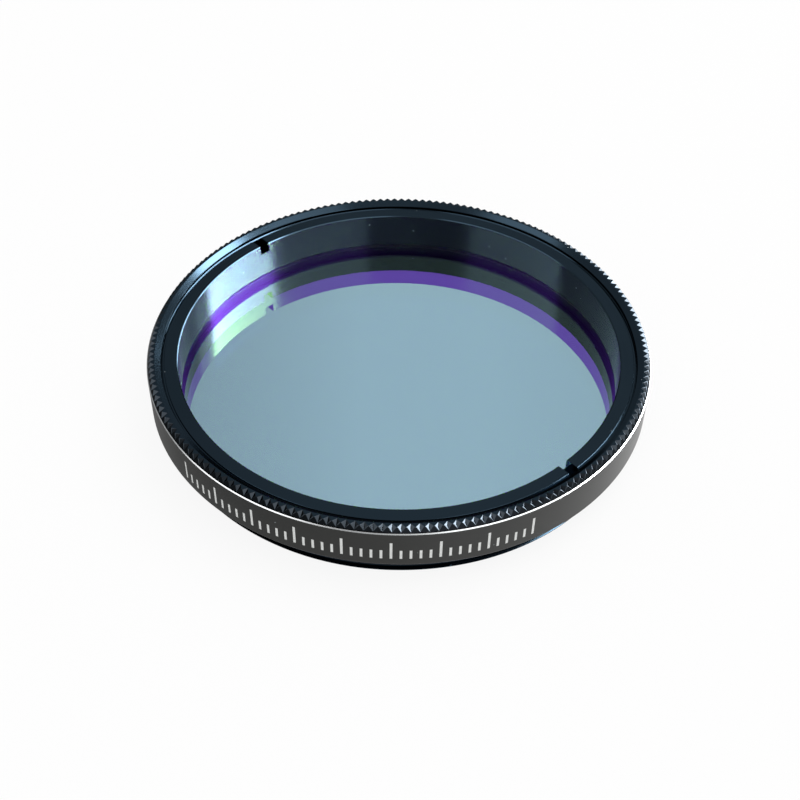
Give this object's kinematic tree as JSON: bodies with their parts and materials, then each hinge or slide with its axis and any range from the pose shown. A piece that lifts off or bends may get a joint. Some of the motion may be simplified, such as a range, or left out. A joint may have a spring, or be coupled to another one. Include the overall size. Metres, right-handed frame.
{
  "type": "optical bandpass filter",
  "caption": "Round coated glass bandpass filter in a knurled screw-in cell, held by a slotted retaining ring, for a telescope or camera thread.",
  "frame": {"origin": "on the optical axis, in the plane of the foot of the male thread, which the filter stands on", "axes": "+Z along the optical axis from the male thread towards the retaining ring; -Y is the side that the picture looks at; the spanner slots lie on the diameter at azimuth 132.9 degrees from +X"},
  "size_m": [0.0506, 0.0506, 0.0072],
  "materials": {
    "cell_anodised": "black anodised, satin",
    "ring_anodised": "black anodised, satin",
    "coated_glass": "polished, interference coated on both faces"
  },
  "bodies": {
    "root": {"filter_cell": "cell_anodised", "retaining_ring": "ring_anodised", "filter_glass": "coated_glass"}
  },
  "joints": []
}
